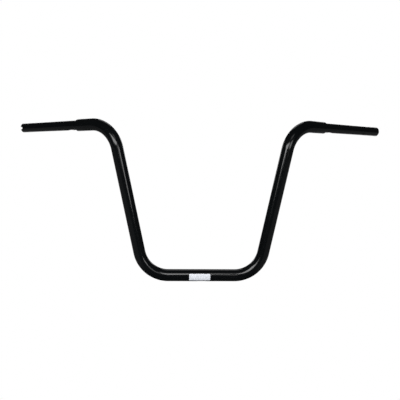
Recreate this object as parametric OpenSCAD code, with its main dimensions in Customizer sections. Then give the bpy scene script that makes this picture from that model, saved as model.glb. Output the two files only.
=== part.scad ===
// Tall motorcycle handlebar with one inch control ends.
// A fat tube is bent upwards out of a straight clamping section, leans outwards as a riser,
// and is bent again towards the rider. A smaller tube is let into each mouth of the fat tube
// to carry the grips and the switch housings. Its turned spigot fills the fat tube's bore,
// its shoulder seats on the mouth, and the joint is welded round and dressed.
// X runs along the clamping section towards the rider's left, Y towards the rider, Z up.
// The origin is the centre of the clamping section, on the tube's axis.

/* [Main tube] */
// Outer diameter of the fat tube
tube_d = 31.75; // [30:0.05:35]
// Length of the straight clamping section between the lower bends
clamp_l = 174; // [130:1:220]
// Length of each straight riser
riser_l = 277; // [60:1:400]
// Straight length above the upper bend on the throttle side
throttle_top_l = 49; // [46:0.5:80]
// Straight length above the upper bend on the clutch side
clutch_top_l = 46.5; // [46:0.5:80]

/* [Bends] */
// Centreline radius of the lower bends
lower_bend_r = 77; // [65:1:100]
// Centreline radius of the upper bends
upper_bend_r = 71; // [65:1:100]
// Outward lean of the risers from the vertical
riser_lean = 11.9; // [0:0.1:20]
// Angle by which the control ends turn back towards the rider, seen from above
pullback = 33.5; // [5:0.5:45]
// Angle by which the control ends drop below the horizontal
end_drop = 3.4; // [0:0.1:10]
// Radius that the tube loses in a bend as its wall is drawn
bend_thinning = 0.02; // [0.01:0.01:0.1]

/* [Control ends] */
// Outer diameter of the control ends
end_d = 25.4; // [25.4:0.05:26.5]
// Diameter of each control end's turned spigot, which is also the bore of the fat tube
spigot_d = 25.2; // [23.6:0.05:25.3]
// Wall thickness of the control ends
end_wall = 2.4; // [2:0.05:3]
// Length of the throttle end outside the fat tube
throttle_end_l = 196; // [120:1:240]
// Length of the clutch end outside the fat tube
clutch_end_l = 208.5; // [120:0.5:240]
// Length of each control end inside the fat tube
insert_l = 42; // [30:1:44]
// Chamfer round the outer edge of every cut tube end
edge_chamfer = 0.8; // [0.4:0.1:1.5]
// Leg of the dressed weld round each joint
weld_leg = 1.2; // [0.6:0.1:2]

/* [Wiring openings] */
// Width of the switch wire slot under each control end
wire_slot_w = 11; // [8:0.5:13]
// Length of the switch wire slot under each control end
wire_slot_l = 23; // [18:0.5:40]
// Distance from the joint to the middle of the switch wire slot
wire_slot_at = 24.5; // [22:0.5:60]
// Width of the wire exit under the clamping section
exit_slot_w = 14; // [10:0.5:18]
// Length of the wire exit under the clamping section
exit_slot_l = 30; // [20:1:50]

/* [Throttle sensor notches] */
// Width of the two opposite notches at the throttle end
notch_w = 6; // [4:0.5:8]
// Depth of the notches along the tube
notch_l = 6.5; // [5:0.5:10]

/* [Grip wire slot] */
// Width of the small slot near the clutch end's tip
grip_slot_w = 5; // [3:0.5:6]
// Length of the small slot near the clutch end's tip
grip_slot_l = 14; // [8:0.5:20]
// Distance from the tip to the middle of the small slot
grip_slot_at = 58; // [20:1:80]
// Angle of the small slot below the tube's front line
grip_slot_turn = 48; // [0:1:90]

/* [Label] */
// Width of the blank label along the tube
label_w = 55; // [20:1:60]
// Distance of the label's middle from the middle of the clamping section, to the throttle side
label_at = 4.5; // [0:0.5:20]
// Height of the blank label round the tube
label_h = 19.5; // [10:0.5:30]
// Thickness of the label film
label_t = 0.08; // [0.05:0.01:0.15]
// Angle of the label's upper edge above the tube's front line
label_top_a = 25; // [10:1:40]
// Corner radius of the label
label_corner_r = 1.5; // [0.5:0.1:3]

/* [Hidden] */
$fn = 96;
// Length by which a cutter passes the surface that it cuts
over = 2;
// Length by which a straight runs into the thinner bends beside it
lap = 0.5;

tube_r = tube_d / 2;
end_r = end_d / 2;
spigot_r = spigot_d / 2;
end_bore_r = end_r - end_wall;

// Directions of a riser and of a control end on the clutch side
riser_dir = [sin(riser_lean), 0, cos(riser_lean)];
end_dir = [cos(end_drop) * cos(pullback), cos(end_drop) * sin(pullback), -sin(end_drop)];
lower_bend_a = 90 - riser_lean;
upper_bend_a = acos(riser_dir * end_dir);

// A tube section's own frame has Z along the tube, and the next bend turns Z towards X.
// Side axes of the riser's frame, before it is rolled for the upper bend
riser_x = [-cos(riser_lean), 0, sin(riser_lean)];
riser_y = [0, -1, 0];
// Roll about the riser that brings the upper bend's plane onto the control end
bend_roll = atan2(end_dir * riser_y, end_dir * riser_x);
// Side axes of the control end's frame
bend_dir = (end_dir - (riser_dir * end_dir) * riser_dir) / sin(upper_bend_a);
end_x = cos(upper_bend_a) * bend_dir - sin(upper_bend_a) * riser_dir;
end_y = cross(riser_dir, bend_dir);

// Angle about a control end at which its surface faces the direction v
function clock(v) = atan2(v * end_y, v * end_x);
under_a = clock([0, 0, -1]);
front_a = clock([0, -1, 0]);

// Sections of tube, each starting at its frame's origin

module straight(length, r, lap_end = lap)
    translate([0, 0, -lap]) cylinder(h = lap + length + lap_end, r = r);

module bend(bend_r, angle, r)
    translate([bend_r, 0, 0])
        rotate([-90, 0, 0])
            rotate([0, 0, 180])
                rotate_extrude(angle = angle)
                    translate([bend_r, 0]) circle(r = r - bend_thinning);

// Places for what follows a section

module after_straight(length) translate([0, 0, length]) children();

module after_bend(bend_r, angle)
    translate([bend_r, 0, 0])
        rotate([0, angle, 0])
            translate([-bend_r, 0, 0]) children();

module at_arm()
    translate([clamp_l / 2, 0, 0])
        rotate([0, 90, 0])
            rotate([0, 0, 180]) children();

module at_riser() at_arm() after_bend(lower_bend_r, lower_bend_a) children();

module at_upper_bend() at_riser() after_straight(riser_l) rotate([0, 0, bend_roll]) children();

module at_mouth(top_l)
    at_upper_bend()
        after_bend(upper_bend_r, upper_bend_a)
            after_straight(top_l) children();

// One side of the fat tube's run, as a solid of radius r whose last straight is top_l long
module arm(r, top_l) {
    at_arm() bend(lower_bend_r, lower_bend_a, r);
    at_riser() straight(riser_l, r);
    at_upper_bend() {
        bend(upper_bend_r, upper_bend_a, r);
        after_bend(upper_bend_r, upper_bend_a) straight(top_l, r, 0);
    }
}

// The fat tube's whole run, lengthened by extra at both mouths
module run(r, extra = 0) {
    rotate([0, 90, 0]) cylinder(h = clamp_l + 2 * lap, r = r, center = true);
    arm(r, clutch_top_l + extra);
    mirror([1, 0, 0]) arm(r, throttle_top_l + extra);
}

// Cuts a slot with round ends along Z, outwards along X from the tube's axis
module slot(length, width)
    rotate([0, 90, 0])
        linear_extrude(tube_d) {
            square([length - width, width], center = true);
            for (side = [-1, 1]) translate([side * (length - width) / 2, 0]) circle(d = width);
        }

// Takes the sharp outer edge off a tube end that lies at z = 0 and faces +Z
module edge_cut(r)
    rotate_extrude()
        polygon([
            [r - edge_chamfer, 0],
            [r, -edge_chamfer],
            [r + over, -edge_chamfer],
            [r + over, over],
            [r - edge_chamfer, over],
        ]);

module main_tube() color("#161617")
    difference() {
        run(tube_r);
        run(spigot_r, over);
        at_mouth(clutch_top_l) edge_cut(tube_r);
        mirror([1, 0, 0]) at_mouth(throttle_top_l) edge_cut(tube_r);
        rotate([0, 90, 0]) slot(exit_slot_l, exit_slot_w);
    }

// Concave weld that runs round a control end where it leaves the mouth
module weld()
    rotate_extrude()
        difference() {
            translate([end_bore_r + end_wall / 2, 0]) square([end_wall / 2 + weld_leg, weld_leg]);
            translate([end_r + weld_leg, weld_leg]) circle(r = weld_leg);
        }

// A control end in the mouth's frame, with its spigot, its weld and its switch wire slot
module end_tube(length)
    difference() {
        union() {
            translate([0, 0, -insert_l]) cylinder(h = insert_l + over, r = spigot_r);
            cylinder(h = length, r = end_r);
            weld();
        }
        translate([0, 0, -insert_l - over]) cylinder(h = insert_l + length + 2 * over, r = end_bore_r);
        translate([0, 0, length]) edge_cut(end_r);
        translate([0, 0, wire_slot_at]) rotate([0, 0, under_a]) slot(wire_slot_l, wire_slot_w);
    }

// Two notches across the tip, front and rear, with round bottoms
module notches()
    rotate([0, 0, front_a])
        rotate([0, 90, 0])
            linear_extrude(2 * end_d, center = true) {
                translate([notch_l - notch_w / 2, 0]) circle(d = notch_w);
                translate([-over, -notch_w / 2]) square([notch_l - notch_w / 2 + over, notch_w]);
            }

module throttle_end_tube() color("#1a1a1b")
    mirror([1, 0, 0])
        at_mouth(throttle_top_l)
            difference() {
                end_tube(throttle_end_l);
                translate([0, 0, throttle_end_l]) notches();
            }

module clutch_end_tube() color("#1a1a1b")
    at_mouth(clutch_top_l)
        difference() {
            end_tube(clutch_end_l);
            translate([0, 0, clutch_end_l - grip_slot_at])
                rotate([0, 0, front_a + grip_slot_turn]) slot(grip_slot_l, grip_slot_w);
        }

// Leaves a round corner on film that lies along -Z and +Y from the origin, seen along X
module corner_cut()
    rotate([0, 90, 0])
        linear_extrude(tube_d)
            difference() {
                translate([-over, -over]) square(over + label_corner_r);
                translate([label_corner_r, label_corner_r]) circle(r = label_corner_r);
            }

// Blank film label wrapped on the front of the clamping section
module label() color("#eef2f6") {
    wrap_a = label_h / tube_r * 180 / PI;
    translate([-label_at, 0, 0])
        rotate([0, 90, 0])
            rotate([0, 0, -90 - label_top_a])
                difference() {
                    translate([0, 0, -label_w / 2])
                        rotate_extrude(angle = wrap_a)
                            translate([tube_r, 0]) square([label_t, label_w]);
                    for (end = [0, 1]) mirror([0, 0, end]) {
                        translate([0, 0, label_w / 2]) corner_cut();
                        rotate([0, 0, wrap_a])
                            mirror([0, 1, 0])
                                translate([0, 0, label_w / 2]) corner_cut();
                    }
                }
}

main_tube();
throttle_end_tube();
clutch_end_tube();
label();
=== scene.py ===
"""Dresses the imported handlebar: a gloss black, powder-coated tall bar with a blank film label.

Lengths are written in millimetres and angles in degrees, as on a tube bender's drawing, and the
meshes are in metres. X runs along the clamping section towards the rider's left, Y towards the
rider, Z up.
"""

import logging
import math
from dataclasses import dataclass
from enum import Enum
from typing import Any, Callable

import bpy
from mathutils import Matrix, Vector


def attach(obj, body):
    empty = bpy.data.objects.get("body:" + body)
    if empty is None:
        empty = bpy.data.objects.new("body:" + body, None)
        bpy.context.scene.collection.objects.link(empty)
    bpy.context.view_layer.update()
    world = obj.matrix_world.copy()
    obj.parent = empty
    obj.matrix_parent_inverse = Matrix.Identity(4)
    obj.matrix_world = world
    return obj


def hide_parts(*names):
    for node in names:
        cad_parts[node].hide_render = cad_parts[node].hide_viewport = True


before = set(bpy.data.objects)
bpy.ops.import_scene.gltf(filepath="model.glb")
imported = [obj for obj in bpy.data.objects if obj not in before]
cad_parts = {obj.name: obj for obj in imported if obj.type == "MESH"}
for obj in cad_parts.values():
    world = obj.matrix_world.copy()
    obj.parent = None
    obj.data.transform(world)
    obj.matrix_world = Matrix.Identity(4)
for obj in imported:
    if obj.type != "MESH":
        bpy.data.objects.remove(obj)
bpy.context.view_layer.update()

LOG = logging.getLogger("handlebar")
BODY = "root"
COAT_SLOT = "gloss_black_coat"
FILM_SLOT = "label_film"

# Metres in a millimetre
MM = 0.001
# Facets round a tube
SIDES = 96
# Margin by which a cutter, or an area that is softened, passes an edge
OVER = 2.0
# Slack within which a point counts as lying on a plane
NEAR = 0.01
# Slack within which a point counts as lying on a round surface, or on the paper's edge
SLACK = 0.05
# Distance below which two vertices are one
MERGED = 0.005
# Bevel profile of a quarter circle, and the steps of a small one
ROUND = 0.5
ROUND_STEPS = 3
# Angle between two faces up to which they are shaded as one
SMOOTH_BELOW = 30.0
# Sockets of a Mix node on colours: its share, its two colours and its result
MIX_SHARE, MIX_FIRST, MIX_SECOND, MIX_RESULT = 0, 6, 7, 2


class Side(Enum):
    """The two control ends, by the sign of X on their side."""

    THROTTLE = -1.0
    CLUTCH = 1.0


def linear(hex_colour: str) -> tuple[float, float, float, float]:
    """Turns an sRGB colour into Blender's linear one.

    Args:
        hex_colour: The colour as "#rrggbb".

    Returns:
        Linear red, green and blue, with an alpha of 1.
    """
    levels = [int(hex_colour[i : i + 2], 16) / 255 for i in (1, 3, 5)]
    toe_slope, toe_end, offset, gamma = 12.92, 0.04045, 0.055, 2.4
    red, green, blue = (
        level / toe_slope if level <= toe_end else ((level + offset) / (1 + offset)) ** gamma
        for level in levels
    )
    return red, green, blue, 1.0


def per_mm(size: float) -> float:
    """Returns the texture scale at which one pattern cell is size millimetres across."""
    return 1 / (size * MM)


def add_node(
    tree: bpy.types.NodeTree,
    kind: str,
    values: dict[str | int, Any] | None = None,
    links: dict[str | int, bpy.types.NodeSocket] | None = None,
    **settings: Any,
) -> bpy.types.Node:
    """Adds one shader node, sets it up and wires its inputs.

    Args:
        tree: The node tree that takes the node.
        kind: The node's type, such as "ShaderNodeBump".
        values: Values of unlinked inputs, by the input's name or number.
        links: Output sockets that feed inputs, by the input's name or number.
        **settings: The node's own properties.

    Returns:
        The new node.
    """
    node = tree.nodes.new(kind)
    for name, value in settings.items():
        setattr(node, name, value)
    for socket, value in (values or {}).items():
        node.inputs[socket].default_value = value
    for socket, source in (links or {}).items():
        tree.links.new(source, node.inputs[socket])
    return node


def new_material(name: str) -> tuple[bpy.types.Material, bpy.types.NodeTree]:
    """Makes an empty node material.

    Args:
        name: The material's name.

    Returns:
        The material and its cleared node tree.
    """
    material = bpy.data.materials.new(name)
    material.use_nodes = True
    material.node_tree.nodes.clear()
    return material, material.node_tree


@dataclass(frozen=True)
class PowderCoat:
    """Gloss black polyester powder, sprayed and baked on steel.

    It gives the eye a deep black with tight highlights, which the orange peel of the flowed
    powder breaks up a little, and a body tone that shifts slightly between thin and full film.
    """

    name: str = "gloss_black_powder_coat"
    full_film: str = "#07090a"
    thin_film: str = "#0e1012"
    film_patch: float = 60.0
    film_octaves: float = 3.0
    haze_patch: float = 18.0
    haze_octaves: float = 4.0
    haze_from: float = 0.35
    haze_to: float = 0.75
    gloss_roughness: float = 0.1
    hazy_roughness: float = 0.16
    peel_cell: float = 3.0
    peel_octaves: float = 1.0
    peel_height: float = 0.0008
    # Real powder grains are finer, and are drawn this coarse so that they still show
    grit_cell: float = 0.6
    grit_octaves: float = 0.0
    grit_height: float = 0.0001
    resin_ior: float = 1.5

    def build(self) -> bpy.types.Material:
        """Mixes the coat on object coordinates.

        Returns:
            The material.
        """
        material, tree = new_material(self.name)
        coords = add_node(tree, "ShaderNodeTexCoord").outputs["Object"]
        patterns = (
            (self.film_patch, self.film_octaves),
            (self.haze_patch, self.haze_octaves),
            (self.peel_cell, self.peel_octaves),
            (self.grit_cell, self.grit_octaves),
        )
        film, haze, peel, grit = (
            add_node(
                tree,
                "ShaderNodeTexNoise",
                {"Scale": per_mm(size), "Detail": octaves},
                {"Vector": coords},
            ).outputs["Fac"]
            for size, octaves in patterns
        )
        body = add_node(
            tree,
            "ShaderNodeMix",
            {MIX_FIRST: linear(self.full_film), MIX_SECOND: linear(self.thin_film)},
            {MIX_SHARE: film},
            data_type="RGBA",
        )
        roughness = add_node(
            tree,
            "ShaderNodeMapRange",
            {
                "From Min": self.haze_from,
                "From Max": self.haze_to,
                "To Min": self.gloss_roughness,
                "To Max": self.hazy_roughness,
            },
            {"Value": haze},
        )
        flow = add_node(tree, "ShaderNodeBump", {"Distance": self.peel_height * MM}, {"Height": peel})
        skin = add_node(
            tree,
            "ShaderNodeBump",
            {"Distance": self.grit_height * MM},
            {"Height": grit, "Normal": flow.outputs["Normal"]},
        )
        shader = add_node(
            tree,
            "ShaderNodeBsdfPrincipled",
            {"IOR": self.resin_ior, "Metallic": 0.0},
            {
                "Base Color": body.outputs[MIX_RESULT],
                "Roughness": roughness.outputs["Result"],
                "Normal": skin.outputs["Normal"],
            },
        )
        add_node(tree, "ShaderNodeOutputMaterial", links={"Surface": shader.outputs["BSDF"]})
        return material


@dataclass(frozen=True)
class OversprayedBore:
    """Drawn steel inside a tube, with a dusting of powder that drifted in.

    It gives the eye a dull, speckled dark grey with lighter patches of bare metal.
    """

    name: str = "oversprayed_steel_bore"
    powder_dust: str = "#17181a"
    bare_steel: str = "#6f6c68"
    patch: float = 9.0
    patch_octaves: float = 5.0
    bare_from: float = 0.5
    bare_to: float = 0.68
    steel_share: float = 0.55
    dusty_roughness: float = 0.7
    steel_roughness: float = 0.42
    # Real dust is finer, and is drawn this coarse so that it still shows
    speckle: float = 0.7
    speckle_octaves: float = 2.0
    speckle_height: float = 0.02

    def build(self) -> bpy.types.Material:
        """Mixes the bore's finish on object coordinates.

        Returns:
            The material.
        """
        material, tree = new_material(self.name)
        coords = add_node(tree, "ShaderNodeTexCoord").outputs["Object"]
        drift, dust = (
            add_node(
                tree,
                "ShaderNodeTexNoise",
                {"Scale": per_mm(size), "Detail": octaves},
                {"Vector": coords},
            ).outputs["Fac"]
            for size, octaves in (
                (self.patch, self.patch_octaves),
                (self.speckle, self.speckle_octaves),
            )
        )
        bare = add_node(
            tree,
            "ShaderNodeMapRange",
            {
                "From Min": self.bare_from,
                "From Max": self.bare_to,
                "To Min": 0.0,
                "To Max": self.steel_share,
            },
            {"Value": drift},
        )
        colour = add_node(
            tree,
            "ShaderNodeMix",
            {MIX_FIRST: linear(self.powder_dust), MIX_SECOND: linear(self.bare_steel)},
            {MIX_SHARE: bare.outputs["Result"]},
            data_type="RGBA",
        )
        roughness = add_node(
            tree,
            "ShaderNodeMapRange",
            {
                "From Max": self.steel_share,
                "To Min": self.dusty_roughness,
                "To Max": self.steel_roughness,
            },
            {"Value": bare.outputs["Result"]},
        )
        relief = add_node(
            tree, "ShaderNodeBump", {"Distance": self.speckle_height * MM}, {"Height": dust}
        )
        shader = add_node(
            tree,
            "ShaderNodeBsdfPrincipled",
            links={
                "Base Color": colour.outputs[MIX_RESULT],
                "Metallic": bare.outputs["Result"],
                "Roughness": roughness.outputs["Result"],
                "Normal": relief.outputs["Normal"],
            },
        )
        add_node(tree, "ShaderNodeOutputMaterial", links={"Surface": shader.outputs["BSDF"]})
        return material


@dataclass(frozen=True)
class LabelFilm:
    """White vinyl film with a satin top coat, unprinted.

    It gives the eye a cool, even white with a broad soft sheen, and the faintest mottling where
    the film has taken up the coat beneath it.
    """

    name: str = "satin_white_vinyl_film"
    face: str = "#f8faff"
    mottled: str = "#eaf0f8"
    mottle: float = 5.0
    mottle_octaves: float = 3.0
    satin_roughness: float = 0.38
    dry_roughness: float = 0.5
    # The real grain is finer, and is drawn this coarse so that it still shows
    grain: float = 0.6
    grain_octaves: float = 1.0
    grain_height: float = 0.003
    vinyl_ior: float = 1.53

    def build(self) -> bpy.types.Material:
        """Mixes the film on object coordinates.

        Returns:
            The material.
        """
        material, tree = new_material(self.name)
        coords = add_node(tree, "ShaderNodeTexCoord").outputs["Object"]
        patches, grain = (
            add_node(
                tree,
                "ShaderNodeTexNoise",
                {"Scale": per_mm(size), "Detail": octaves},
                {"Vector": coords},
            ).outputs["Fac"]
            for size, octaves in (
                (self.mottle, self.mottle_octaves),
                (self.grain, self.grain_octaves),
            )
        )
        colour = add_node(
            tree,
            "ShaderNodeMix",
            {MIX_FIRST: linear(self.face), MIX_SECOND: linear(self.mottled)},
            {MIX_SHARE: patches},
            data_type="RGBA",
        )
        roughness = add_node(
            tree,
            "ShaderNodeMapRange",
            {"To Min": self.satin_roughness, "To Max": self.dry_roughness},
            {"Value": patches},
        )
        relief = add_node(
            tree, "ShaderNodeBump", {"Distance": self.grain_height * MM}, {"Height": grain}
        )
        shader = add_node(
            tree,
            "ShaderNodeBsdfPrincipled",
            {"IOR": self.vinyl_ior},
            {
                "Base Color": colour.outputs[MIX_RESULT],
                "Roughness": roughness.outputs["Result"],
                "Normal": relief.outputs["Normal"],
            },
        )
        add_node(tree, "ShaderNodeOutputMaterial", links={"Surface": shader.outputs["BSDF"]})
        return material


@dataclass(frozen=True)
class PaperSweep:
    """Seamless studio paper, washed to white.

    It gives the eye a plain white ground on which the bar's soft shadow stays faintly visible. The
    wash shows to the camera, in gloss and through glass alone, so it lights nothing matt. Gloss
    finds it white far behind the bar, dim at both sides, faint elsewhere, and dark higher up. Its
    places are distances from the bar's origin, and the fan's ends are slopes from the fan's origin,
    which lies in front of the bar.
    """

    name: str = "studio_paper_sweep"
    paper: str = "#e4e6e9"
    paper_roughness: float = 0.85
    # Real fibres are finer, and are drawn this coarse so that they still show
    fibre: float = 4.0
    fibre_octaves: float = 2.0
    fibre_height: float = 0.05
    washed: str = "#ffffff"
    wash_starts: float = 1400.0
    wash_full: float = 2000.0
    least_wash: float = 0.72
    far_starts: float = 3000.0
    far_full: float = 3600.0
    fan_origin: float = 1900.0
    fan_full: float = 0.35
    fan_ends: float = 0.41
    side_starts: float = 750.0
    side_full: float = 1500.0
    side_gloss: float = 0.12
    faint_gloss: float = 0.02
    gloss_fades: float = -350.0
    gloss_ends: float = 150.0

    def gloss_level(
        self, tree: bpy.types.NodeTree, coords: bpy.types.NodeSocket
    ) -> bpy.types.NodeSocket:
        """Works out how bright each place of the paper is in gloss.

        Args:
            tree: The material's node tree.
            coords: Object coordinates.

        Returns:
            The level's output, where 1 is white.
        """
        at = add_node(tree, "ShaderNodeSeparateXYZ", links={"Vector": coords}).outputs
        # The white part fans out behind the bar, only a little wider than the photograph's view
        reach = add_node(
            tree, "ShaderNodeMath", {1: self.fan_origin * MM}, {0: at["Y"]}, operation="ADD"
        )
        slope = add_node(
            tree, "ShaderNodeMath", links={0: at["X"], 1: reach.outputs[0]}, operation="DIVIDE"
        )
        spread = add_node(tree, "ShaderNodeMath", links={0: slope.outputs[0]}, operation="ABSOLUTE")
        aside = add_node(tree, "ShaderNodeMath", links={0: at["X"]}, operation="ABSOLUTE")
        # What each smooth step follows, where it starts and ends, and its two levels
        steps = (
            (at["Y"], self.far_starts * MM, self.far_full * MM, 0.0, 1.0),
            (spread.outputs[0], self.fan_full, self.fan_ends, 1.0, 0.0),
            (
                aside.outputs[0],
                self.side_starts * MM,
                self.side_full * MM,
                self.faint_gloss,
                self.side_gloss,
            ),
            (at["Z"], self.gloss_fades * MM, self.gloss_ends * MM, 1.0, 0.0),
        )
        far, fan, side, low = (
            add_node(
                tree,
                "ShaderNodeMapRange",
                {"From Min": start, "From Max": end, "To Min": first, "To Max": last},
                {"Value": value},
                interpolation_type="SMOOTHSTEP",
            ).outputs["Result"]
            for value, start, end, first, last in steps
        )
        behind = add_node(tree, "ShaderNodeMath", links={0: far, 1: fan}, operation="MULTIPLY")
        around = add_node(
            tree, "ShaderNodeMath", links={0: behind.outputs[0], 1: side}, operation="MAXIMUM"
        )
        level = add_node(
            tree, "ShaderNodeMath", links={0: around.outputs[0], 1: low}, operation="MULTIPLY"
        )
        return level.outputs[0]

    def build(self) -> bpy.types.Material:
        """Mixes the paper and its wash on object coordinates.

        Returns:
            The material.
        """
        material, tree = new_material(self.name)
        coords = add_node(tree, "ShaderNodeTexCoord").outputs["Object"]
        fibres = add_node(
            tree,
            "ShaderNodeTexNoise",
            {"Scale": per_mm(self.fibre), "Detail": self.fibre_octaves},
            {"Vector": coords},
        )
        relief = add_node(
            tree,
            "ShaderNodeBump",
            {"Distance": self.fibre_height * MM},
            {"Height": fibres.outputs["Fac"]},
        )
        paper = add_node(
            tree,
            "ShaderNodeBsdfPrincipled",
            {"Base Color": linear(self.paper), "Roughness": self.paper_roughness},
            {"Normal": relief.outputs["Normal"]},
        )
        away = add_node(tree, "ShaderNodeVectorMath", links={0: coords}, operation="LENGTH")
        wash = add_node(
            tree,
            "ShaderNodeMapRange",
            {
                "From Min": self.wash_starts * MM,
                "From Max": self.wash_full * MM,
                "To Min": self.least_wash,
                "To Max": 1.0,
            },
            {"Value": away.outputs["Value"]},
            interpolation_type="SMOOTHSTEP",
        )
        rays = add_node(tree, "ShaderNodeLightPath").outputs
        seen = add_node(
            tree,
            "ShaderNodeMath",
            links={0: wash.outputs["Result"], 1: rays["Is Camera Ray"]},
            operation="MULTIPLY",
        )
        mirrored = add_node(
            tree,
            "ShaderNodeMath",
            links={0: rays["Is Glossy Ray"], 1: rays["Is Transmission Ray"]},
            operation="MAXIMUM",
        )
        share = add_node(
            tree,
            "ShaderNodeMath",
            links={0: seen.outputs[0], 1: mirrored.outputs[0]},
            operation="MAXIMUM",
        )
        strength = add_node(
            tree,
            "ShaderNodeMath",
            links={0: rays["Is Camera Ray"], 1: self.gloss_level(tree, coords)},
            operation="MAXIMUM",
        )
        glow = add_node(
            tree,
            "ShaderNodeEmission",
            {"Color": linear(self.washed)},
            {"Strength": strength.outputs[0]},
        )
        mixed = add_node(
            tree,
            "ShaderNodeMixShader",
            links={0: share.outputs[0], 1: paper.outputs["BSDF"], 2: glow.outputs["Emission"]},
        )
        add_node(tree, "ShaderNodeOutputMaterial", links={"Surface": mixed.outputs["Shader"]})
        return material


def select_only(*pieces: bpy.types.Object) -> None:
    """Selects these objects and nothing else, and makes the first one active.

    Args:
        *pieces: The objects, in object mode.
    """
    bpy.ops.object.select_all(action="DESELECT")
    for piece in pieces:
        piece.select_set(True)
    bpy.context.view_layer.objects.active = pieces[0]


def pick(piece: bpy.types.Object, kind: str, test: Callable[[Any], bool]) -> int:
    """Selects the parts of a mesh that pass a test, and leaves the piece in edit mode.

    Args:
        piece: The mesh object, in object mode.
        kind: "VERT", "EDGE" or "FACE".
        test: Takes a vertex, an edge as its list of two corners, or a polygon.

    Returns:
        How many were selected.
    """
    select_only(piece)
    bpy.ops.object.mode_set(mode="EDIT")
    bpy.ops.mesh.select_mode(type=kind)
    bpy.ops.mesh.select_all(action="DESELECT")
    bpy.ops.object.mode_set(mode="OBJECT")
    mesh = piece.data
    if kind == "EDGE":
        chosen = [edge for edge in mesh.edges if test([mesh.vertices[v].co for v in edge.vertices])]
    else:
        parts = mesh.vertices if kind == "VERT" else mesh.polygons
        chosen = [part for part in parts if test(part)]
    for part in chosen:
        part.select = True
    bpy.ops.object.mode_set(mode="EDIT")
    return len(chosen)


def apply_modifier(piece: bpy.types.Object, kind: str, **settings: Any) -> None:
    """Gives a piece one modifier and applies it.

    Args:
        piece: The mesh object.
        kind: The modifier's type, such as "SOLIDIFY".
        **settings: The modifier's own properties.
    """
    select_only(piece)
    modifier = piece.modifiers.new(kind.lower(), kind)
    for name, value in settings.items():
        setattr(modifier, name, value)
    bpy.ops.object.modifier_apply(modifier=modifier.name)


def place(piece: bpy.types.Object, matrix: Matrix) -> None:
    """Moves a piece's mesh by a matrix, and leaves its object at the origin, unturned.

    Args:
        piece: The mesh object.
        matrix: The move, in metres.
    """
    select_only(piece)
    piece.matrix_world = matrix @ piece.matrix_world
    bpy.context.view_layer.update()
    bpy.ops.object.transform_apply(location=True, rotation=True, scale=True)


def cut(piece: bpy.types.Object, cutter: bpy.types.Object) -> None:
    """Takes the cutter's form out of a piece and deletes the cutter."""
    apply_modifier(piece, "BOOLEAN", operation="DIFFERENCE", solver="EXACT", object=cutter)
    bpy.data.objects.remove(cutter)


def soften(
    piece: bpy.types.Object,
    inside: Callable[[Vector], bool],
    radius: float,
    steps: int = 2,
    sharp: float = 35.0,
) -> None:
    """Rounds the sharp edges of one area, as thick powder does.

    Args:
        piece: The mesh object.
        inside: Says whether a point, in millimetres, belongs to the area.
        radius: The round's size.
        steps: The round's segments.
        sharp: The least angle between two faces that counts as sharp.
    """
    select_only(piece)
    bpy.ops.object.mode_set(mode="EDIT")
    bpy.ops.mesh.select_mode(type="EDGE")
    bpy.ops.mesh.select_all(action="DESELECT")
    bpy.ops.mesh.edges_select_sharp(sharpness=math.radians(sharp))
    bpy.ops.object.mode_set(mode="OBJECT")
    corners = piece.data.vertices
    for edge in piece.data.edges:
        if edge.select and not all(inside(corners[v].co / MM) for v in edge.vertices):
            edge.select = False
    bpy.ops.object.mode_set(mode="EDIT")
    bpy.ops.mesh.bevel(offset=radius * MM, segments=steps, profile=ROUND, clamp_overlap=True)
    bpy.ops.object.mode_set(mode="OBJECT")


def finish_piece(
    piece: bpy.types.Object, slot: str, coats: list[bpy.types.Material], node: str | None = None
) -> bpy.types.Object:
    """Gives a piece its materials, smooths it, parents it to its body, logs its slot and hides its
    CAD node.

    Args:
        piece: The mesh object, with its place in its mesh.
        slot: The record's material slot.
        coats: The piece's materials, in the order of its faces' numbers.
        node: The CAD node that the piece replaces, if it replaces one.

    Returns:
        The piece.
    """
    for number, coat in enumerate(coats):
        if number < len(piece.data.materials):
            piece.data.materials[number] = coat
        else:
            piece.data.materials.append(coat)
    select_only(piece)
    bpy.ops.object.shade_smooth_by_angle(angle=math.radians(SMOOTH_BELOW))
    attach(piece, BODY)
    if node:
        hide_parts(node)
    LOG.info("%s: %d faces, slot %s", piece.name, len(piece.data.polygons), slot)
    return piece


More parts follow.
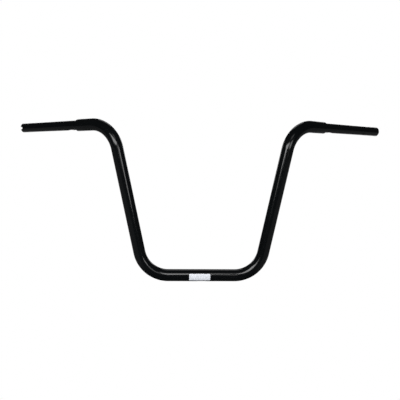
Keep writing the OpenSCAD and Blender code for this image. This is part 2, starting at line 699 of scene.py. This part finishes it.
@dataclass(frozen=True)
class BarPlan:
    """The bender's drawing: straights, bends and directions."""

    # The tube is 31.75, and is drawn a tenth thinner so that no facet passes the solid's own
    tube_d: float = 31.65
    end_d: float = 25.4
    spigot_d: float = 25.2
    clamp_l: float = 174.0
    riser_l: float = 277.0
    throttle_top_l: float = 49.0
    clutch_top_l: float = 46.5
    lower_bend_r: float = 77.0
    upper_bend_r: float = 71.0
    riser_lean: float = 11.9
    pullback: float = 33.5
    end_drop: float = 3.4

    def top_l(self, side: Side) -> float:
        """Returns the straight above the upper bend."""
        return self.clutch_top_l if side is Side.CLUTCH else self.throttle_top_l

    def riser_way(self, side: Side) -> Vector:
        """Returns the direction of a riser, upwards."""
        lean = math.radians(self.riser_lean)
        return Vector((side.value * math.sin(lean), 0, math.cos(lean)))

    def end_way(self, side: Side) -> Vector:
        """Works out the direction of a control end.

        Args:
            side: Which end.

        Returns:
            The direction, outwards.
        """
        pull, drop = math.radians(self.pullback), math.radians(self.end_drop)
        flat = math.cos(drop)
        return Vector((side.value * flat * math.cos(pull), flat * math.sin(pull), -math.sin(drop)))

    def after_bend(self, at: Vector, way: Vector, next_way: Vector, radius: float) -> Vector:
        """Returns where a bend from one direction to the next leaves off."""
        return at + radius * math.tan(way.angle(next_way) / 2) * (way + next_way)

    def mouth(self, side: Side) -> Vector:
        """Follows the run from the origin to one of the fat tube's mouths.

        Args:
            side: Which mouth.

        Returns:
            The mouth's centre.
        """
        along, riser, end = Vector((side.value, 0, 0)), self.riser_way(side), self.end_way(side)
        at = self.after_bend(along * self.clamp_l / 2, along, riser, self.lower_bend_r)
        at = self.after_bend(at + riser * self.riser_l, riser, end, self.upper_bend_r)
        return at + end * self.top_l(side)

    def mouth_frame(self, side: Side) -> Matrix:
        """Works out the seat of a control end, whose own frame has Z outwards and X downwards.

        Args:
            side: Which end.

        Returns:
            The matrix from the end's own frame to the bar's, in metres.
        """
        out = self.end_way(side)
        plumb = Vector((0, 0, -1))
        down = (plumb - plumb.dot(out) * out).normalized()
        across = out.cross(down)
        turn = Matrix((down, across, out)).transposed().to_4x4()
        return Matrix.Translation(self.mouth(side) * MM) @ turn

    def front_angle(self, side: Side) -> float:
        """Returns the angle about Z, in a control end's own frame, that faces the bike's front."""
        ahead = self.mouth_frame(side).to_3x3().transposed() @ Vector((0, -1, 0))
        return math.atan2(ahead.y, ahead.x)


class TubeBender:
    """Draws a tube's skin as a bender works: a ring is pushed along and swung round the dies."""

    def __init__(self, name: str, at: Vector, way: Vector, radius: float) -> None:
        """Sets the first ring.

        Args:
            name: The piece's name.
            at: The ring's centre.
            way: The direction in which the tube starts.
            radius: The tube's outer radius.
        """
        self.at = at.copy()
        self.way = way.normalized()
        bpy.ops.object.select_all(action="DESELECT")
        bpy.ops.mesh.primitive_circle_add(vertices=SIDES, radius=radius * MM, fill_type="NOTHING")
        self.piece = bpy.context.object
        self.piece.name = name
        turn = self.way.to_track_quat("Z", "Y").to_matrix().to_4x4()
        place(self.piece, Matrix.Translation(self.at * MM) @ turn)
        bpy.ops.object.mode_set(mode="EDIT")
        bpy.ops.mesh.select_all(action="SELECT")

    def push(self, length: float, steps: int = 1) -> None:
        """Runs a straight.

        Args:
            length: The straight's length.
            steps: Into how many even lengths it is divided.
        """
        for _ in range(steps):
            stride = self.way * length / steps
            bpy.ops.mesh.extrude_region_move(TRANSFORM_OT_translate={"value": stride * MM})
            self.at += stride

    def swing(self, next_way: Vector, bend_radius: float, step_angle: float = 2.5) -> None:
        """Bends the tube into a new direction.

        Args:
            next_way: The direction after the bend.
            bend_radius: The centreline radius.
            step_angle: The greatest angle between two rings.
        """
        angle = self.way.angle(next_way)
        axis = self.way.cross(next_way).normalized()
        centre = self.at + bend_radius * axis.cross(self.way)
        # The operator turns by the left-hand rule, so its angle is negative
        bpy.ops.mesh.spin(
            steps=math.ceil(math.degrees(angle) / step_angle),
            angle=-angle,
            center=centre * MM,
            axis=axis,
        )
        self.at += bend_radius * math.tan(angle / 2) * (self.way + next_way)
        self.way = next_way.normalized()

    def wall(self, thickness: float) -> bpy.types.Object:
        """Closes the skin into a wall, whose inner faces take the second material.

        Args:
            thickness: The wall's thickness, inwards from the skin.

        Returns:
            The walled tube, in object mode.
        """
        bpy.ops.mesh.select_all(action="SELECT")
        bpy.ops.mesh.remove_doubles(threshold=MERGED * MM)
        bpy.ops.mesh.normals_make_consistent(inside=False)
        bpy.ops.object.mode_set(mode="OBJECT")
        self.piece.data.materials.append(None)
        self.piece.data.materials.append(None)
        apply_modifier(
            self.piece, "SOLIDIFY", thickness=thickness * MM, offset=-1.0, material_offset=1
        )
        return self.piece


def slot_cutter(
    length: float,
    width: float,
    reach: float,
    round_ends: tuple[int, ...] = (-1, 1),
    end_steps: int = 16,
) -> bpy.types.Object:
    """Makes a round-ended bar that cuts a slot.

    Args:
        length: The slot's length, along Z.
        width: The slot's width, along Y.
        reach: How far the bar goes, along X from the origin.
        round_ends: Which ends along Z are round.
        end_steps: The segments of each quarter of a round end.

    Returns:
        The cutter, a mesh object at the origin.
    """
    bpy.ops.object.select_all(action="DESELECT")
    bpy.ops.mesh.primitive_cube_add(size=1.0)
    cutter = bpy.context.object
    place(cutter, Matrix.Diagonal((reach * MM, width * MM, length * MM, 1)))
    place(cutter, Matrix.Translation((reach * MM / 2, 0, 0)))
    tip = length * MM / 2

    def at_round_end(ends: list[Vector]) -> bool:
        """Says whether an edge runs along X at an end that is to be round."""
        level = ends[0].z / tip
        return abs(ends[0].x - ends[1].x) > reach * MM / 2 and round(level) in round_ends

    pick(cutter, "EDGE", at_round_end)
    bpy.ops.mesh.bevel(
        offset=width * MM / 2, segments=end_steps, profile=ROUND, clamp_overlap=True
    )
    bpy.ops.mesh.select_all(action="SELECT")
    bpy.ops.mesh.remove_doubles(threshold=MERGED * MM)
    bpy.ops.object.mode_set(mode="OBJECT")
    return cutter


@dataclass
class FatTube:
    """The bent 1-1/4 inch tube, from mouth to mouth, with its wire exit."""

    plan: BarPlan
    coat: bpy.types.Material
    bore: bpy.types.Material
    exit_w: float = 14.0
    exit_l: float = 30.0
    mouth_round: float = 1.4
    slot_round: float = 0.5
    clamp_steps: int = 5

    def build(self) -> bpy.types.Object:
        """Bends the tube, opens the wire exit and rounds its edges.

        Returns:
            The finished tube.
        """
        plan = self.plan
        throttle, clutch = Side.THROTTLE, Side.CLUTCH
        start, inwards = plan.mouth(throttle), -plan.end_way(throttle)
        run = TubeBender("fat_tube_shell", start, inwards, plan.tube_d / 2)
        run.push(plan.top_l(throttle))
        run.swing(-plan.riser_way(throttle), plan.upper_bend_r)
        run.push(plan.riser_l)
        run.swing(Vector((1, 0, 0)), plan.lower_bend_r)
        run.push(plan.clamp_l, steps=self.clamp_steps)
        run.swing(plan.riser_way(clutch), plan.lower_bend_r)
        run.push(plan.riser_l)
        run.swing(plan.end_way(clutch), plan.upper_bend_r)
        run.push(plan.top_l(clutch))
        drift = (run.at - plan.mouth(clutch)).length
        LOG.info("the run ends %.4f mm from the clutch mouth", drift)
        piece = run.wall((plan.tube_d - plan.spigot_d) / 2)
        self.round_mouths(piece)
        cutter = slot_cutter(self.exit_l, self.exit_w, plan.tube_d)
        place(cutter, Matrix.Rotation(math.radians(90), 4, "Y"))
        cut(piece, cutter)
        reach = self.exit_l / 2 + OVER
        soften(
            piece,
            lambda at: abs(at.x) < reach and at.z < 0 and abs(at.y) < self.exit_w,
            self.slot_round,
        )
        return finish_piece(piece, COAT_SLOT, [self.coat, self.bore], "main_tube")

    def round_mouths(self, piece: bpy.types.Object) -> None:
        """Takes the sharp outer edge off both mouths.

        Args:
            piece: The tube, in object mode.
        """
        rim, slack = self.plan.tube_d / 2 * MM, SLACK * MM
        for side in Side:
            centre, way = self.plan.mouth(side) * MM, self.plan.end_way(side)

            def on_rim(ends: list[Vector], centre: Vector = centre, way: Vector = way) -> bool:
                """Says whether an edge lies on this mouth's outer rim."""
                return all(
                    abs((p - centre).dot(way)) < slack and abs((p - centre).length - rim) < slack
                    for p in ends
                )

            pick(piece, "EDGE", on_rim)
            bpy.ops.mesh.bevel(
                offset=self.mouth_round * MM, segments=ROUND_STEPS, profile=ROUND, clamp_overlap=True
            )
            bpy.ops.object.mode_set(mode="OBJECT")


@dataclass
class ControlEnd:
    """A one inch end, let into the fat tube and welded, with its wire slot and its own details."""

    plan: BarPlan
    side: Side
    coat: bpy.types.Material
    bore: bpy.types.Material
    length: float
    insert_l: float = 42.0
    wall: float = 2.4
    tip_round: float = 1.2
    wire_slot_w: float = 11.0
    wire_slot_l: float = 23.0
    wire_slot_at: float = 24.5
    slot_round: float = 0.4
    weld_leg: float = 1.2
    weld_sunk: float = 0.3
    # The hollow takes most of the leg. A bevel with a profile of 0.25 is straight, and less is hollow
    hollow_share: float = 0.98
    hollow_profile: float = 0.12
    hollow_steps: int = 4
    weld_ripple: float = 0.12
    weld_steps: int = 128
    steps_a_ripple: int = 4

    @property
    def label(self) -> str:
        """The side's name, in lower case."""
        return self.side.name.lower()

    def section(self, name: str, r0: float, r1: float, z0: float, z1: float) -> bpy.types.Object:
        """Makes the flat section of a turned part.

        Args:
            name: The piece's name.
            r0: The inner radius.
            r1: The outer radius.
            z0: The lower end along Z.
            z1: The upper end.

        Returns:
            A rectangle in the XZ plane.
        """
        bpy.ops.object.select_all(action="DESELECT")
        bpy.ops.mesh.primitive_plane_add(size=1.0, rotation=(math.radians(90), 0, 0))
        flat = bpy.context.object
        flat.name = name
        place(flat, Matrix.Diagonal(((r1 - r0) * MM, 1, (z1 - z0) * MM, 1)))
        place(flat, Matrix.Translation(((r0 + r1) / 2 * MM, 0, (z0 + z1) / 2 * MM)))
        return flat

    def turn(self, flat: bpy.types.Object, steps: int) -> None:
        """Spins a section once round Z into a closed ring and sets its normals outwards.

        Args:
            flat: The section, in the XZ plane.
            steps: The ring's facets.
        """
        select_only(flat)
        bpy.ops.object.mode_set(mode="EDIT")
        bpy.ops.mesh.select_mode(type="FACE")
        bpy.ops.mesh.select_all(action="SELECT")
        bpy.ops.mesh.delete(type="ONLY_FACE")
        bpy.ops.mesh.select_mode(type="EDGE")
        bpy.ops.mesh.select_all(action="SELECT")
        bpy.ops.mesh.spin(steps=steps, angle=math.tau, center=(0, 0, 0), axis=(0, 0, 1))
        bpy.ops.mesh.select_all(action="SELECT")
        bpy.ops.mesh.remove_doubles(threshold=MERGED * MM)
        bpy.ops.mesh.normals_make_consistent(inside=False)
        bpy.ops.object.mode_set(mode="OBJECT")

    def tube(self) -> bpy.types.Object:
        """Turns the tube, with its spigot and its rounded tip.

        Returns:
            The tube in its own frame, whose bore takes the second material.
        """
        end_r, spigot_r = self.plan.end_d / 2, self.plan.spigot_d / 2
        bore_r = end_r - self.wall
        near, tip = NEAR * MM, self.length * MM
        flat = self.section(f"{self.label}_end_shell", bore_r, spigot_r, -self.insert_l, 0)
        # The shoulder is the section's top edge, lifted a hair and drawn out
        pick(flat, "EDGE", lambda ends: all(abs(p.z) < near for p in ends))
        bpy.ops.mesh.extrude_region_move(TRANSFORM_OT_translate={"value": (0, 0, near)})
        bpy.ops.object.mode_set(mode="OBJECT")
        pick(flat, "VERT", lambda v: v.co.z > near / 2 and v.co.x > spigot_r * MM - near)
        bpy.ops.transform.translate(value=((end_r - spigot_r) * MM, 0, 0))
        bpy.ops.object.mode_set(mode="OBJECT")
        pick(flat, "EDGE", lambda ends: all(p.z > near / 2 for p in ends))
        bpy.ops.mesh.extrude_region_move(TRANSFORM_OT_translate={"value": (0, 0, tip - near)})
        bpy.ops.object.mode_set(mode="OBJECT")
        pick(flat, "VERT", lambda v: v.co.z > tip - near and v.co.x > spigot_r * MM)
        bpy.ops.mesh.bevel(offset=self.tip_round * MM, segments=ROUND_STEPS, affect="VERTICES")
        bpy.ops.object.mode_set(mode="OBJECT")
        self.turn(flat, SIDES)
        flat.data.materials.append(None)
        flat.data.materials.append(None)
        inner, corners = (bore_r + SLACK) * MM, flat.data.vertices
        pick(flat, "FACE", lambda f: all(corners[v].co.xy.length < inner for v in f.vertices))
        flat.active_material_index = 1
        bpy.ops.object.material_slot_assign()
        bpy.ops.object.mode_set(mode="OBJECT")
        return flat

    def cut_wire_slot(self, piece: bpy.types.Object) -> None:
        """Opens the switch wire slot in the underside, which faces X here.

        Args:
            piece: The tube in its own frame.
        """
        cutter = slot_cutter(self.wire_slot_l, self.wire_slot_w, self.plan.tube_d)
        place(cutter, Matrix.Translation((0, 0, self.wire_slot_at * MM)))
        cut(piece, cutter)
        low = self.wire_slot_at - self.wire_slot_l / 2 - OVER / 2
        high = self.wire_slot_at + self.wire_slot_l / 2 + OVER / 2
        soften(
            piece,
            lambda at: at.x > 0 and low < at.z < high and abs(at.y) < self.wire_slot_w,
            self.slot_round,
        )

    def cut_own_details(self, piece: bpy.types.Object) -> None:
        """Cuts what only one side has. Here that is nothing."""

    def weld(self) -> bpy.types.Object:
        """Lays the dressed weld round the joint, with the last of its ripples still showing.

        Returns:
            The bead in the control end's own frame.
        """
        end_r = self.plan.end_d / 2
        flat = self.section(
            f"{self.label}_weld_bead", end_r - self.weld_sunk, end_r + self.weld_leg, 0, self.weld_leg
        )
        outer, top, near = (end_r + self.weld_leg) * MM, self.weld_leg * MM, NEAR * MM
        pick(flat, "VERT", lambda v: v.co.x > outer - near and v.co.z > top - near)
        bpy.ops.mesh.bevel(
            offset=top * self.hollow_share,
            segments=self.hollow_steps,
            affect="VERTICES",
            profile=self.hollow_profile,
            clamp_overlap=True,
        )
        bpy.ops.object.mode_set(mode="OBJECT")
        self.turn(flat, self.weld_steps)
        step = math.tau / self.weld_steps
        skin = (end_r + self.weld_sunk) * MM

        def on_crest(vertex: Any) -> bool:
            """Says whether a vertex is on the bead's face and on the crest of a ripple.

            Args:
                vertex: A vertex of the bead's mesh.

            Returns:
                True on a crest.
            """
            turn = math.atan2(vertex.co.y, vertex.co.x) % math.tau
            in_skin = skin < vertex.co.xy.length < outer - near and vertex.co.z > near
            return in_skin and round(turn / step) % self.steps_a_ripple == 0

        crests = pick(flat, "VERT", on_crest)
        LOG.info("%s: %d vertices on crests", flat.name, crests)
        bpy.ops.transform.shrink_fatten(value=self.weld_ripple * MM)
        bpy.ops.object.mode_set(mode="OBJECT")
        return flat

    def build(self) -> list[bpy.types.Object]:
        """Makes the tube and its weld, and sets both in the fat tube's mouth.

        Returns:
            The finished tube and the finished bead.
        """
        tube = self.tube()
        self.cut_wire_slot(tube)
        self.cut_own_details(tube)
        bead = self.weld()
        seat = self.plan.mouth_frame(self.side)
        for piece in (tube, bead):
            place(piece, seat)
        finish_piece(tube, COAT_SLOT, [self.coat, self.bore], f"{self.label}_end_tube")
        finish_piece(bead, COAT_SLOT, [self.coat])
        return [tube, bead]


@dataclass
class ThrottleEnd(ControlEnd):
    """The control end on the rider's right, with two notches across its tip."""

    length: float = 196.0
    notch_w: float = 6.0
    notch_l: float = 6.5

    def cut_own_details(self, piece: bpy.types.Object) -> None:
        """Cuts the front and rear notches that key a sensor in the tip.

        Args:
            piece: The tube in its own frame.
        """
        cutter = slot_cutter(self.notch_l + OVER, self.notch_w, 2 * self.plan.end_d, round_ends=(-1,))
        place(cutter, Matrix.Translation((-self.plan.end_d * MM, 0, 0)))
        place(cutter, Matrix.Rotation(self.plan.front_angle(self.side), 4, "Z"))
        middle = self.length - self.notch_l + (self.notch_l + OVER) / 2
        place(cutter, Matrix.Translation((0, 0, middle * MM)))
        cut(piece, cutter)


@dataclass
class ClutchEnd(ControlEnd):
    """The control end on the rider's left, with a small grip wire slot near its tip."""

    length: float = 208.5
    grip_slot_w: float = 5.0
    grip_slot_l: float = 14.0
    grip_slot_at: float = 58.0
    grip_slot_turn: float = 48.0

    def cut_own_details(self, piece: bpy.types.Object) -> None:
        """Cuts the small slot in the lower front.

        Args:
            piece: The tube in its own frame.
        """
        cutter = slot_cutter(self.grip_slot_l, self.grip_slot_w, self.plan.tube_d)
        front = self.plan.front_angle(self.side)
        # Down is at zero, so turning below the front line makes the angle smaller
        below_front = front - math.copysign(math.radians(self.grip_slot_turn), front)
        place(cutter, Matrix.Rotation(below_front, 4, "Z"))
        place(cutter, Matrix.Translation((0, 0, (self.length - self.grip_slot_at) * MM)))
        cut(piece, cutter)


@dataclass
class BlankLabel:
    """Unprinted film wrapped on the front of the clamping section."""

    plan: BarPlan
    film: bpy.types.Material
    width: float = 55.0
    height: float = 19.5
    to_throttle: float = 4.5
    thickness: float = 0.08
    top_angle: float = 25.0
    corner_r: float = 1.5
    corner_steps: int = 6
    rows: int = 32
    former_sides: int = 1440

    def build(self) -> bpy.types.Object:
        """Cuts the film flat, rounds its corners, wraps it on the tube and gives it thickness.

        Returns:
            The finished label.
        """
        tube_r = self.plan.tube_d / 2
        half_wrap = self.height / tube_r / 2
        flat_h = 2 * tube_r * math.sin(half_wrap)
        bpy.ops.object.select_all(action="DESELECT")
        bpy.ops.mesh.primitive_plane_add(size=1.0, rotation=(math.radians(90), 0, 0))
        piece = bpy.context.object
        piece.name = "label_film_sheet"
        place(piece, Matrix.Diagonal((self.width * MM, 1, flat_h * MM, 1)))
        # The film starts a tube's width in front of the axis and is pressed back onto the former
        place(piece, Matrix.Translation((0, -2 * tube_r * MM, 0)))
        pick(piece, "VERT", lambda v: True)
        bpy.ops.mesh.bevel(
            offset=self.corner_r * MM, segments=self.corner_steps, affect="VERTICES"
        )
        for row in range(1, self.rows):
            angle = half_wrap * (2 * row / self.rows - 1)
            bpy.ops.mesh.select_all(action="SELECT")
            level = tube_r * math.sin(angle) * MM
            bpy.ops.mesh.bisect(plane_co=(0, 0, level), plane_no=(0, 0, 1))
        bpy.ops.object.mode_set(mode="OBJECT")
        former = self.former(tube_r)
        apply_modifier(
            piece,
            "SHRINKWRAP",
            target=former,
            wrap_method="PROJECT",
            use_project_y=True,
            use_positive_direction=True,
            use_negative_direction=True,
        )
        bpy.data.objects.remove(former)
        apply_modifier(piece, "SOLIDIFY", thickness=self.thickness * MM, offset=1.0)
        middle = math.radians(self.top_angle) - half_wrap
        place(piece, Matrix.Rotation(-middle, 4, "X"))
        place(piece, Matrix.Translation((Side.THROTTLE.value * self.to_throttle * MM, 0, 0)))
        return finish_piece(piece, FILM_SLOT, [self.film], "label")

    def former(self, radius: float) -> bpy.types.Object:
        """Makes a fine cylinder along X, to wrap the film on.

        Args:
            radius: The tube's radius.

        Returns:
            The cylinder, which is deleted after use.
        """
        bpy.ops.object.select_all(action="DESELECT")
        bpy.ops.mesh.primitive_cylinder_add(
            vertices=self.former_sides,
            radius=radius * MM,
            depth=2 * self.width * MM,
            rotation=(0, math.radians(90), 0),
        )
        return bpy.context.object


@dataclass(frozen=True)
class Softbox:
    """A rectangular soft lamp.

    It stands at a distance from a middle point, by default the bar's middle, and faces the point
    that it is aimed at. Seen from the middle point, bearing 0 is straight ahead of the bike and 90
    is on the rider's left. A glow of 1 is as bright as white paper.
    """

    name: str
    bearing: float
    rise: float
    width: float
    height: float
    glow: float
    distance: float = 1900.0
    aim: tuple[float, float, float] = (0.0, 0.0, 190.0)
    middle: tuple[float, float, float] = (0.0, 0.0, 190.0)

    def build(self) -> bpy.types.Object:
        """Makes the lamp. It lights and shows in gloss, but the camera looks past it.

        Returns:
            The lamp.
        """
        lamp = bpy.data.lights.new(self.name, "AREA")
        lamp.shape = "RECTANGLE"
        lamp.size, lamp.size_y = self.width * MM, self.height * MM
        # A flat lamp sends out pi times its glow from each square metre
        lamp.energy = self.glow * math.pi * lamp.size * lamp.size_y
        holder = bpy.data.objects.new(self.name, lamp)
        bpy.context.scene.collection.objects.link(holder)
        bearing, rise = math.radians(self.bearing), math.radians(self.rise)
        way = Vector(
            (math.cos(rise) * math.sin(bearing), -math.cos(rise) * math.cos(bearing), math.sin(rise))
        )
        at = Vector(self.middle) + way * self.distance
        holder.location = at * MM
        holder.rotation_euler = (Vector(self.aim) - at).to_track_quat("-Z", "Y").to_euler()
        holder.visible_camera = False
        return holder


@dataclass(frozen=True)
class Studio:
    """The plain studio: a paper sweep far below and behind the bar, soft lamps and the camera.

    The camera's values are a pinhole camera's, fitted to the photograph. They say how far the bar's
    origin lies to its right, ahead of it and above it, how it is turned, and its focal length in
    pixels of the image.
    """

    floor_z: float = -1100.0
    front_y: float = -6000.0
    back_y: float = 8000.0
    half_width: float = 6000.0
    sweep_r: float = 1500.0
    sweep_steps: int = 24
    wall_top: float = 2400.0
    room_white: str = "#ffffff"
    room_fill: float = 0.36
    room_gloss: float = 0.02
    origin_right: float = 3.2
    origin_ahead: float = 1900.0
    origin_above: float = -197.7
    yaw: float = 2.36
    pitch: float = 7.22
    roll: float = 0.68
    focal_pixels: float = 722.2
    image_pixels: float = 400.0
    clip_near: float = 50.0
    clip_far: float = 60000.0
    lamps: tuple[Softbox, ...] = (
        Softbox("key_softbox", -17.4, 17.3, 800, 940, 5.6, 1290, (-310.0, -1060.0, 0.0)),
        Softbox("left_spill", -34, 8, 400, 260, 1.5),
        Softbox("right_softbox", 33, 7, 440, 400, 3.6),
        Softbox("right_spill", 18, 12, 800, 460, 1.4),
        Softbox("overhead_spill", 8, 40, 600, 500, 0.9),
        Softbox("rear_top_softbox", 180, 47, 840, 840, 0.9),
        Softbox("rear_left_softbox", 151, 14, 480, 620, 2.0),
        Softbox("rear_right_softbox", -151, 14, 480, 620, 2.0),
    )

    def set_sweep(self) -> bpy.types.Object:
        """Rolls the paper out from the front and up behind the bar.

        Returns:
            The sweep.
        """
        bpy.ops.object.select_all(action="DESELECT")
        bpy.ops.mesh.primitive_plane_add(size=1.0)
        paper = bpy.context.object
        paper.name = "paper_sweep"
        depth = self.back_y - self.front_y
        place(paper, Matrix.Diagonal((2 * self.half_width * MM, depth * MM, 1, 1)))
        middle = (self.front_y + self.back_y) / 2
        place(paper, Matrix.Translation((0, middle * MM, self.floor_z * MM)))
        back, slack = self.back_y * MM, SLACK * MM
        pick(paper, "EDGE", lambda ends: all(abs(p.y - back) < slack for p in ends))
        rise = (self.wall_top - self.floor_z) * MM
        bpy.ops.mesh.extrude_region_move(TRANSFORM_OT_translate={"value": (0, 0, rise)})
        bpy.ops.object.mode_set(mode="OBJECT")
        foot = self.floor_z * MM
        corner = Vector((back, foot))
        pick(paper, "EDGE", lambda ends: all((p.yz - corner).length < slack for p in ends))
        bpy.ops.mesh.bevel(offset=self.sweep_r * MM, segments=self.sweep_steps, profile=ROUND)
        bpy.ops.object.mode_set(mode="OBJECT")
        bpy.ops.object.shade_smooth()
        paper.data.materials.append(PaperSweep().build())
        return paper

    def set_room(self) -> None:
        """Closes the room: white to the camera, a broad soft fill on matt surfaces, dim in gloss."""
        world = bpy.data.worlds.new("studio_room")
        bpy.context.scene.world = world
        world.use_nodes = True
        tree = world.node_tree
        tree.nodes.clear()
        rays = add_node(tree, "ShaderNodeLightPath").outputs
        fill = add_node(
            tree,
            "ShaderNodeMath",
            {1: self.room_fill, 2: self.room_gloss},
            {0: rays["Is Diffuse Ray"]},
            operation="MULTIPLY_ADD",
        )
        seen = add_node(
            tree,
            "ShaderNodeMath",
            links={0: rays["Is Camera Ray"], 1: rays["Is Transmission Ray"]},
            operation="MAXIMUM",
        )
        level = add_node(
            tree,
            "ShaderNodeMath",
            links={0: fill.outputs[0], 1: seen.outputs[0]},
            operation="MAXIMUM",
        )
        walls = add_node(
            tree,
            "ShaderNodeBackground",
            {"Color": linear(self.room_white)},
            {"Strength": level.outputs[0]},
        )
        add_node(tree, "ShaderNodeOutputWorld", links={"Surface": walls.outputs["Background"]})

    def set_camera(self) -> bpy.types.Object:
        """Stands the camera in front of the bike, a little above the bar.

        Returns:
            The camera.
        """
        turn = (
            Matrix.Rotation(math.radians(self.roll), 3, "Y")
            @ Matrix.Rotation(math.radians(self.pitch), 3, "X")
            @ Matrix.Rotation(math.radians(self.yaw), 3, "Z")
        )
        right, ahead, up = turn
        offset = Vector((self.origin_right, self.origin_ahead, self.origin_above)) * MM
        data = bpy.data.cameras.new("photo_camera")
        data.lens = self.focal_pixels / self.image_pixels * data.sensor_width
        data.clip_start, data.clip_end = self.clip_near * MM, self.clip_far * MM
        camera = bpy.data.objects.new("photo_camera", data)
        bpy.context.scene.collection.objects.link(camera)
        facing = Matrix((right, up, -ahead)).transposed()
        camera.matrix_world = Matrix.Translation(-(turn.transposed() @ offset)) @ facing.to_4x4()
        bpy.context.scene.camera = camera
        return camera

    def build(self) -> None:
        """Sets the whole studio up."""
        self.set_camera()
        self.set_sweep()
        self.set_room()
        for lamp in self.lamps:
            lamp.build()
        bpy.context.scene.view_settings.view_transform = "Standard"


def main() -> None:
    """Builds the studio and the handlebar's pieces in order."""
    logging.basicConfig(level=logging.INFO, format="%(name)s: %(message)s")
    Studio().build()
    plan = BarPlan()
    coat, bore, film = PowderCoat().build(), OversprayedBore().build(), LabelFilm().build()
    FatTube(plan, coat, bore).build()
    ThrottleEnd(plan, Side.THROTTLE, coat, bore).build()
    ClutchEnd(plan, Side.CLUTCH, coat, bore).build()
    BlankLabel(plan, film).build()


if __name__ == "__main__":
    main()
